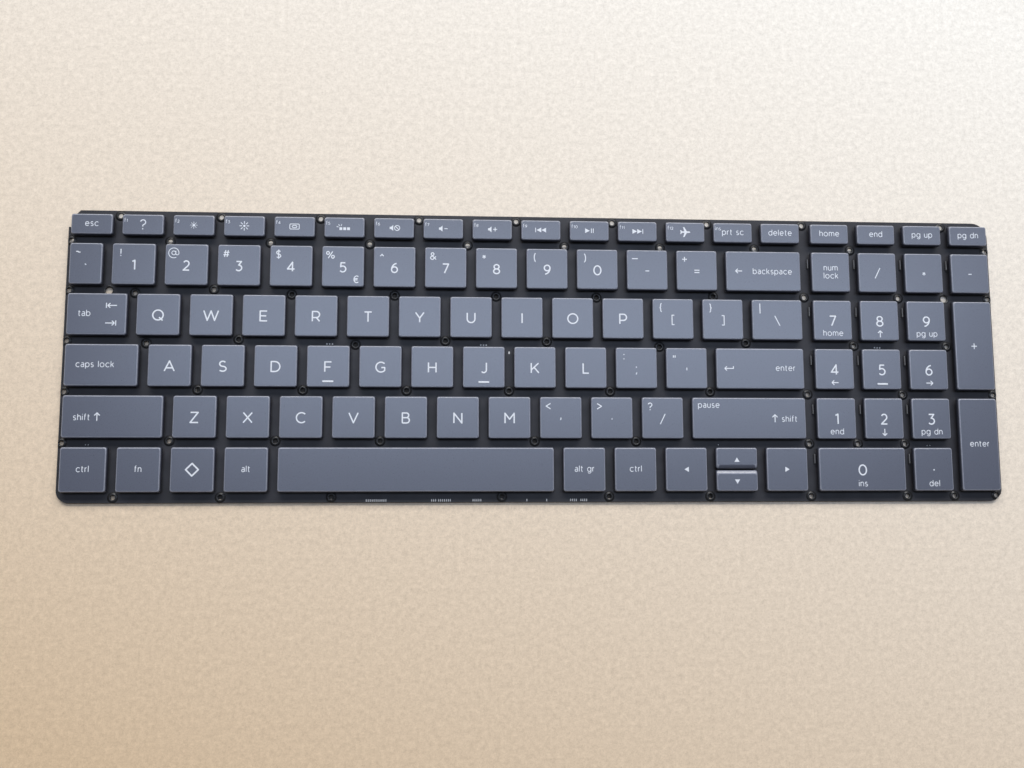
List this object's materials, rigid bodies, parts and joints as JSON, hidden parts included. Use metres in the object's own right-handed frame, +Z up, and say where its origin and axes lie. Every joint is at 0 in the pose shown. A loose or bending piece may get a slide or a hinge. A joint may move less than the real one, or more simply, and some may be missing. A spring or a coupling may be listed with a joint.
{
  "type": "laptop replacement keyboard",
  "caption": "Flat laptop keyboard module with a number pad: island keycaps that travel on scissor levers and rubber domes over a membrane and a riveted base plate.",
  "frame": {"origin": "centre of the underside", "axes": "+X to the right along the rows, +Y towards the function row, +Z up through the keycaps"},
  "size_m": [0.3446, 0.1062, 0.0047],
  "materials": {
    "keycap": "fine matte texture",
    "membrane": "black film",
    "plate": "black sheet",
    "backlight": "white film",
    "dome": "milky silicone",
    "lever": "moulded"
  },
  "bodies": {
    "base": {"backlight_panel": "backlight", "base_plate": "plate", "membrane": "membrane", "rubber_domes": "dome", "function_row_keycaps": "keycap", "number_row_keycaps": "keycap", "punctuation_keycaps": "keycap", "number_pad_keycaps": "keycap"},
    "q_key": {"q_key": "keycap"},
    "w_key": {"w_key": "keycap"},
    "e_key": {"e_key": "keycap"},
    "r_key": {"r_key": "keycap"},
    "t_key": {"t_key": "keycap"},
    "y_key": {"y_key": "keycap"},
    "u_key": {"u_key": "keycap"},
    "i_key": {"i_key": "keycap"},
    "o_key": {"o_key": "keycap"},
    "p_key": {"p_key": "keycap"},
    "a_key": {"a_key": "keycap"},
    "s_key": {"s_key": "keycap"},
    "d_key": {"d_key": "keycap"},
    "f_key": {"f_key": "keycap"},
    "g_key": {"g_key": "keycap"},
    "h_key": {"h_key": "keycap"},
    "j_key": {"j_key": "keycap"},
    "k_key": {"k_key": "keycap"},
    "l_key": {"l_key": "keycap"},
    "z_key": {"z_key": "keycap"},
    "x_key": {"x_key": "keycap"},
    "c_key": {"c_key": "keycap"},
    "v_key": {"v_key": "keycap"},
    "b_key": {"b_key": "keycap"},
    "n_key": {"n_key": "keycap"},
    "m_key": {"m_key": "keycap"},
    "backspace_key": {"backspace_key": "keycap"},
    "tab_key": {"tab_key": "keycap"},
    "caps_lock_key": {"caps_lock_key": "keycap"},
    "enter_key": {"enter_key": "keycap"},
    "left_shift_key": {"left_shift_key": "keycap"},
    "right_shift_key": {"right_shift_key": "keycap"},
    "left_ctrl_key": {"left_ctrl_key": "keycap"},
    "fn_key": {"fn_key": "keycap"},
    "os_key": {"os_key": "keycap"},
    "alt_key": {"alt_key": "keycap"},
    "space_key": {"space_key": "keycap"},
    "alt_gr_key": {"alt_gr_key": "keycap"},
    "right_ctrl_key": {"right_ctrl_key": "keycap"},
    "arrow_left_key": {"arrow_left_key": "keycap"},
    "arrow_up_key": {"arrow_up_key": "keycap"},
    "arrow_down_key": {"arrow_down_key": "keycap"},
    "arrow_right_key": {"arrow_right_key": "keycap"},
    "semicolon_key": {"semicolon_key": "keycap"},
    "comma_key": {"comma_key": "keycap"},
    "period_key": {"period_key": "keycap"},
    "slash_key": {"slash_key": "keycap"},
    "alt_outer_lever": {"alt_outer_lever": "lever"},
    "alt_inner_lever": {"alt_inner_lever": "lever"},
    "alt_gr_outer_lever": {"alt_gr_outer_lever": "lever"},
    "alt_gr_inner_lever": {"alt_gr_inner_lever": "lever"}
  },
  "joints": [
    {"name": "q_travel", "type": "slide", "parent": "base", "child": "q_key", "axis": [0, 0, -1], "range_m": [0, 0.0015], "stiffness_N_per_m": 300, "springref_m": -0.0005, "deforming": ["rubber_domes"]},
    {"name": "w_travel", "type": "slide", "parent": "base", "child": "w_key", "axis": [0, 0, -1], "range_m": [0, 0.0015], "stiffness_N_per_m": 300, "springref_m": -0.0005, "deforming": ["rubber_domes"]},
    {"name": "e_travel", "type": "slide", "parent": "base", "child": "e_key", "axis": [0, 0, -1], "range_m": [0, 0.0015], "stiffness_N_per_m": 300, "springref_m": -0.0005, "deforming": ["rubber_domes"]},
    {"name": "r_travel", "type": "slide", "parent": "base", "child": "r_key", "axis": [0, 0, -1], "range_m": [0, 0.0015], "stiffness_N_per_m": 300, "springref_m": -0.0005, "deforming": ["rubber_domes"]},
    {"name": "t_travel", "type": "slide", "parent": "base", "child": "t_key", "axis": [0, 0, -1], "range_m": [0, 0.0015], "stiffness_N_per_m": 300, "springref_m": -0.0005, "deforming": ["rubber_domes"]},
    {"name": "y_travel", "type": "slide", "parent": "base", "child": "y_key", "axis": [0, 0, -1], "range_m": [0, 0.0015], "stiffness_N_per_m": 300, "springref_m": -0.0005, "deforming": ["rubber_domes"]},
    {"name": "u_travel", "type": "slide", "parent": "base", "child": "u_key", "axis": [0, 0, -1], "range_m": [0, 0.0015], "stiffness_N_per_m": 300, "springref_m": -0.0005, "deforming": ["rubber_domes"]},
    {"name": "i_travel", "type": "slide", "parent": "base", "child": "i_key", "axis": [0, 0, -1], "range_m": [0, 0.0015], "stiffness_N_per_m": 300, "springref_m": -0.0005, "deforming": ["rubber_domes"]},
    {"name": "o_travel", "type": "slide", "parent": "base", "child": "o_key", "axis": [0, 0, -1], "range_m": [0, 0.0015], "stiffness_N_per_m": 300, "springref_m": -0.0005, "deforming": ["rubber_domes"]},
    {"name": "p_travel", "type": "slide", "parent": "base", "child": "p_key", "axis": [0, 0, -1], "range_m": [0, 0.0015], "stiffness_N_per_m": 300, "springref_m": -0.0005, "deforming": ["rubber_domes"]},
    {"name": "a_travel", "type": "slide", "parent": "base", "child": "a_key", "axis": [0, 0, -1], "range_m": [0, 0.0015], "stiffness_N_per_m": 300, "springref_m": -0.0005, "deforming": ["rubber_domes"]},
    {"name": "s_travel", "type": "slide", "parent": "base", "child": "s_key", "axis": [0, 0, -1], "range_m": [0, 0.0015], "stiffness_N_per_m": 300, "springref_m": -0.0005, "deforming": ["rubber_domes"]},
    {"name": "d_travel", "type": "slide", "parent": "base", "child": "d_key", "axis": [0, 0, -1], "range_m": [0, 0.0015], "stiffness_N_per_m": 300, "springref_m": -0.0005, "deforming": ["rubber_domes"]},
    {"name": "f_travel", "type": "slide", "parent": "base", "child": "f_key", "axis": [0, 0, -1], "range_m": [0, 0.0015], "stiffness_N_per_m": 300, "springref_m": -0.0005, "deforming": ["rubber_domes"]},
    {"name": "g_travel", "type": "slide", "parent": "base", "child": "g_key", "axis": [0, 0, -1], "range_m": [0, 0.0015], "stiffness_N_per_m": 300, "springref_m": -0.0005, "deforming": ["rubber_domes"]},
    {"name": "h_travel", "type": "slide", "parent": "base", "child": "h_key", "axis": [0, 0, -1], "range_m": [0, 0.0015], "stiffness_N_per_m": 300, "springref_m": -0.0005, "deforming": ["rubber_domes"]},
    {"name": "j_travel", "type": "slide", "parent": "base", "child": "j_key", "axis": [0, 0, -1], "range_m": [0, 0.0015], "stiffness_N_per_m": 300, "springref_m": -0.0005, "deforming": ["rubber_domes"]},
    {"name": "k_travel", "type": "slide", "parent": "base", "child": "k_key", "axis": [0, 0, -1], "range_m": [0, 0.0015], "stiffness_N_per_m": 300, "springref_m": -0.0005, "deforming": ["rubber_domes"]},
    {"name": "l_travel", "type": "slide", "parent": "base", "child": "l_key", "axis": [0, 0, -1], "range_m": [0, 0.0015], "stiffness_N_per_m": 300, "springref_m": -0.0005, "deforming": ["rubber_domes"]},
    {"name": "z_travel", "type": "slide", "parent": "base", "child": "z_key", "axis": [0, 0, -1], "range_m": [0, 0.0015], "stiffness_N_per_m": 300, "springref_m": -0.0005, "deforming": ["rubber_domes"]},
    {"name": "x_travel", "type": "slide", "parent": "base", "child": "x_key", "axis": [0, 0, -1], "range_m": [0, 0.0015], "stiffness_N_per_m": 300, "springref_m": -0.0005, "deforming": ["rubber_domes"]},
    {"name": "c_travel", "type": "slide", "parent": "base", "child": "c_key", "axis": [0, 0, -1], "range_m": [0, 0.0015], "stiffness_N_per_m": 300, "springref_m": -0.0005, "deforming": ["rubber_domes"]},
    {"name": "v_travel", "type": "slide", "parent": "base", "child": "v_key", "axis": [0, 0, -1], "range_m": [0, 0.0015], "stiffness_N_per_m": 300, "springref_m": -0.0005, "deforming": ["rubber_domes"]},
    {"name": "b_travel", "type": "slide", "parent": "base", "child": "b_key", "axis": [0, 0, -1], "range_m": [0, 0.0015], "stiffness_N_per_m": 300, "springref_m": -0.0005, "deforming": ["rubber_domes"]},
    {"name": "n_travel", "type": "slide", "parent": "base", "child": "n_key", "axis": [0, 0, -1], "range_m": [0, 0.0015], "stiffness_N_per_m": 300, "springref_m": -0.0005, "deforming": ["rubber_domes"]},
    {"name": "m_travel", "type": "slide", "parent": "base", "child": "m_key", "axis": [0, 0, -1], "range_m": [0, 0.0015], "stiffness_N_per_m": 300, "springref_m": -0.0005, "deforming": ["rubber_domes"]},
    {"name": "backspace_travel", "type": "slide", "parent": "base", "child": "backspace_key", "axis": [0, 0, -1], "range_m": [0, 0.0015], "stiffness_N_per_m": 300, "springref_m": -0.0005, "deforming": ["rubber_domes"]},
    {"name": "tab_travel", "type": "slide", "parent": "base", "child": "tab_key", "axis": [0, 0, -1], "range_m": [0, 0.0015], "stiffness_N_per_m": 300, "springref_m": -0.0005, "deforming": ["rubber_domes"]},
    {"name": "caps_lock_travel", "type": "slide", "parent": "base", "child": "caps_lock_key", "axis": [0, 0, -1], "range_m": [0, 0.0015], "stiffness_N_per_m": 300, "springref_m": -0.0005, "deforming": ["rubber_domes"]},
    {"name": "enter_travel", "type": "slide", "parent": "base", "child": "enter_key", "axis": [0, 0, -1], "range_m": [0, 0.0015], "stiffness_N_per_m": 300, "springref_m": -0.0005, "deforming": ["rubber_domes"]},
    {"name": "left_shift_travel", "type": "slide", "parent": "base", "child": "left_shift_key", "axis": [0, 0, -1], "range_m": [0, 0.0015], "stiffness_N_per_m": 300, "springref_m": -0.0005, "deforming": ["rubber_domes"]},
    {"name": "right_shift_travel", "type": "slide", "parent": "base", "child": "right_shift_key", "axis": [0, 0, -1], "range_m": [0, 0.0015], "stiffness_N_per_m": 300, "springref_m": -0.0005, "deforming": ["rubber_domes"]},
    {"name": "left_ctrl_travel", "type": "slide", "parent": "base", "child": "left_ctrl_key", "axis": [0, 0, -1], "range_m": [0, 0.0015], "stiffness_N_per_m": 300, "springref_m": -0.0005, "deforming": ["rubber_domes"]},
    {"name": "fn_travel", "type": "slide", "parent": "base", "child": "fn_key", "axis": [0, 0, -1], "range_m": [0, 0.0015], "stiffness_N_per_m": 300, "springref_m": -0.0005, "deforming": ["rubber_domes"]},
    {"name": "os_travel", "type": "slide", "parent": "base", "child": "os_key", "axis": [0, 0, -1], "range_m": [0, 0.0015], "stiffness_N_per_m": 300, "springref_m": -0.0005, "deforming": ["rubber_domes"]},
    {"name": "alt_travel", "type": "slide", "parent": "base", "child": "alt_key", "axis": [0, 0, -1], "range_m": [0, 0.0015], "stiffness_N_per_m": 300, "springref_m": -0.0005, "deforming": ["rubber_domes"]},
    {"name": "space_travel", "type": "slide", "parent": "base", "child": "space_key", "axis": [0, 0, -1], "range_m": [0, 0.0015], "stiffness_N_per_m": 300, "springref_m": -0.0005, "deforming": ["rubber_domes"]},
    {"name": "alt_gr_travel", "type": "slide", "parent": "base", "child": "alt_gr_key", "axis": [0, 0, -1], "range_m": [0, 0.0015], "stiffness_N_per_m": 300, "springref_m": -0.0005, "deforming": ["rubber_domes"]},
    {"name": "right_ctrl_travel", "type": "slide", "parent": "base", "child": "right_ctrl_key", "axis": [0, 0, -1], "range_m": [0, 0.0015], "stiffness_N_per_m": 300, "springref_m": -0.0005, "deforming": ["rubber_domes"]},
    {"name": "arrow_left_travel", "type": "slide", "parent": "base", "child": "arrow_left_key", "axis": [0, 0, -1], "range_m": [0, 0.0015], "stiffness_N_per_m": 300, "springref_m": -0.0005, "deforming": ["rubber_domes"]},
    {"name": "arrow_up_travel", "type": "slide", "parent": "base", "child": "arrow_up_key", "axis": [0, 0, -1], "range_m": [0, 0.0015], "stiffness_N_per_m": 300, "springref_m": -0.0005, "deforming": ["rubber_domes"]},
    {"name": "arrow_down_travel", "type": "slide", "parent": "base", "child": "arrow_down_key", "axis": [0, 0, -1], "range_m": [0, 0.0015], "stiffness_N_per_m": 300, "springref_m": -0.0005, "deforming": ["rubber_domes"]},
    {"name": "arrow_right_travel", "type": "slide", "parent": "base", "child": "arrow_right_key", "axis": [0, 0, -1], "range_m": [0, 0.0015], "stiffness_N_per_m": 300, "springref_m": -0.0005, "deforming": ["rubber_domes"]},
    {"name": "semicolon_travel", "type": "slide", "parent": "base", "child": "semicolon_key", "axis": [0, 0, -1], "range_m": [0, 0.0015], "stiffness_N_per_m": 300, "springref_m": -0.0005, "deforming": ["rubber_domes"]},
    {"name": "comma_travel", "type": "slide", "parent": "base", "child": "comma_key", "axis": [0, 0, -1], "range_m": [0, 0.0015], "stiffness_N_per_m": 300, "springref_m": -0.0005, "deforming": ["rubber_domes"]},
    {"name": "period_travel", "type": "slide", "parent": "base", "child": "period_key", "axis": [0, 0, -1], "range_m": [0, 0.0015], "stiffness_N_per_m": 300, "springref_m": -0.0005, "deforming": ["rubber_domes"]},
    {"name": "slash_travel", "type": "slide", "parent": "base", "child": "slash_key", "axis": [0, 0, -1], "range_m": [0, 0.0015], "stiffness_N_per_m": 300, "springref_m": -0.0005, "deforming": ["rubber_domes"]},
    {"name": "alt_outer_pivot", "type": "hinge", "parent": "base", "child": "alt_outer_lever", "pos_m": [-0.1058, -0.0473, 0.0015], "axis": [-1, 0, 0], "range_deg": [0, 7.37]},
    {"name": "alt_inner_pivot", "type": "hinge", "parent": "alt_key", "child": "alt_inner_lever", "pos_m": [-0.1058, -0.0458, 0.0034], "axis": [1, 0, 0], "range_deg": [0, 9.91]},
    {"name": "alt_gr_outer_pivot", "type": "hinge", "parent": "base", "child": "alt_gr_outer_lever", "pos_m": [0.015, -0.0473, 0.0015], "axis": [-1, 0, 0], "range_deg": [0, 7.37]},
    {"name": "alt_gr_inner_pivot", "type": "hinge", "parent": "alt_gr_key", "child": "alt_gr_inner_lever", "pos_m": [0.015, -0.0458, 0.0034], "axis": [1, 0, 0], "range_deg": [0, 9.91]}
  ],
  "couplings": [
    {"joint": "alt_outer_pivot", "follows": "alt_travel", "rad_per_m": 85.211},
    {"joint": "alt_inner_pivot", "follows": "alt_travel", "rad_per_m": 114.77},
    {"joint": "alt_gr_outer_pivot", "follows": "alt_gr_travel", "rad_per_m": 85.211},
    {"joint": "alt_gr_inner_pivot", "follows": "alt_gr_travel", "rad_per_m": 114.77}
  ]
}
